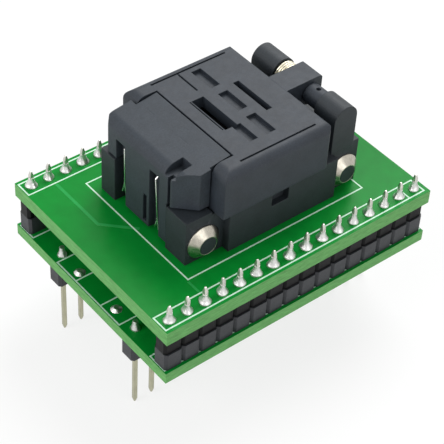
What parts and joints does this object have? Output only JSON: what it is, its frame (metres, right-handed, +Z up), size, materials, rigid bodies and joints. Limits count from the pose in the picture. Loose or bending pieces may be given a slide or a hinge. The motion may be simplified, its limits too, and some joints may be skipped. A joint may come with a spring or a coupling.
{
  "type": "zif socket",
  "caption": "Clamshell test socket with a sprung latch and hinged lid, on a two-board adapter that plugs in with two rows of square pins.",
  "frame": {"origin": "centre of the bounding box's bottom, at the level of the pin tips", "axes": "+X along the boards from the latch to the hinge, +Y to the left seen from the latch, +Z up from the pins to the lid"},
  "size_m": [0.041, 0.031, 0.0327],
  "materials": {
    "circuit_board": "glossy",
    "header_plastic": "satin",
    "slim_header_plastic": "satin",
    "pin_plating": "satin",
    "solder": "bright",
    "socket_plastic": "fine satin texture",
    "inner_plastic": "satin",
    "contact_gold": "gold plated",
    "eyelet_steel": "satin",
    "pin_steel": "polished",
    "spring_steel": "drawn wire",
    "spring_gilt": "pale plated wire"
  },
  "bodies": {
    "socket": {"lower_board": "circuit_board", "upper_board": "circuit_board", "dip_header_left": "header_plastic", "dip_header_right": "header_plastic", "dip_pins_left": "pin_plating", "dip_pins_right": "pin_plating", "stack_header_lower_left": "header_plastic", "stack_header_lower_right": "header_plastic", "stack_header_upper_left": "slim_header_plastic", "stack_header_upper_right": "slim_header_plastic", "stack_pins_left": "pin_plating", "stack_pins_right": "pin_plating", "solder_upper": "solder", "solder_lower": "solder", "solder_under": "solder", "spare_pads": "solder", "socket_base": "socket_plastic", "chip_guide": "inner_plastic", "front_corners": "socket_plastic", "side_cores": "socket_plastic", "latch_catch": "socket_plastic", "contacts": "contact_gold", "ground_pin": "contact_gold", "corner_eyelets": "eyelet_steel", "hinge_pin": "pin_steel", "hinge_spring": "spring_gilt", "hinge_bush": "socket_plastic"},
    "lid": {"lid": "socket_plastic", "latch_pin": "pin_steel", "pad_pin": "pin_steel", "pad_springs": "spring_steel"},
    "latch": {"latch": "socket_plastic", "latch_tongue": "socket_plastic", "latch_hook": "socket_plastic", "latch_spring_left": "spring_steel", "latch_spring_right": "spring_steel"},
    "pressure_pad": {"pressure_pad": "inner_plastic"}
  },
  "joints": [
    {"name": "lid_hinge", "type": "hinge", "parent": "socket", "child": "lid", "pos_m": [0.0114, 0, 0.0307], "axis": [0, 1, 0], "range_deg": [0, 95]},
    {"name": "latch_pivot", "type": "hinge", "parent": "lid", "child": "latch", "pos_m": [-0.0064, 0, 0.0314], "axis": [0, 1, 0], "range_deg": [0, 8], "stiffness_Nm_per_rad": 0.002, "springref_deg": -5.16},
    {"name": "pad_float", "type": "slide", "parent": "lid", "child": "pressure_pad", "axis": [0, 0, 1], "range_m": [0, 0.0004], "stiffness_N_per_m": 400, "springref_m": -0.0002, "deforming": ["pad_springs"]}
  ]
}
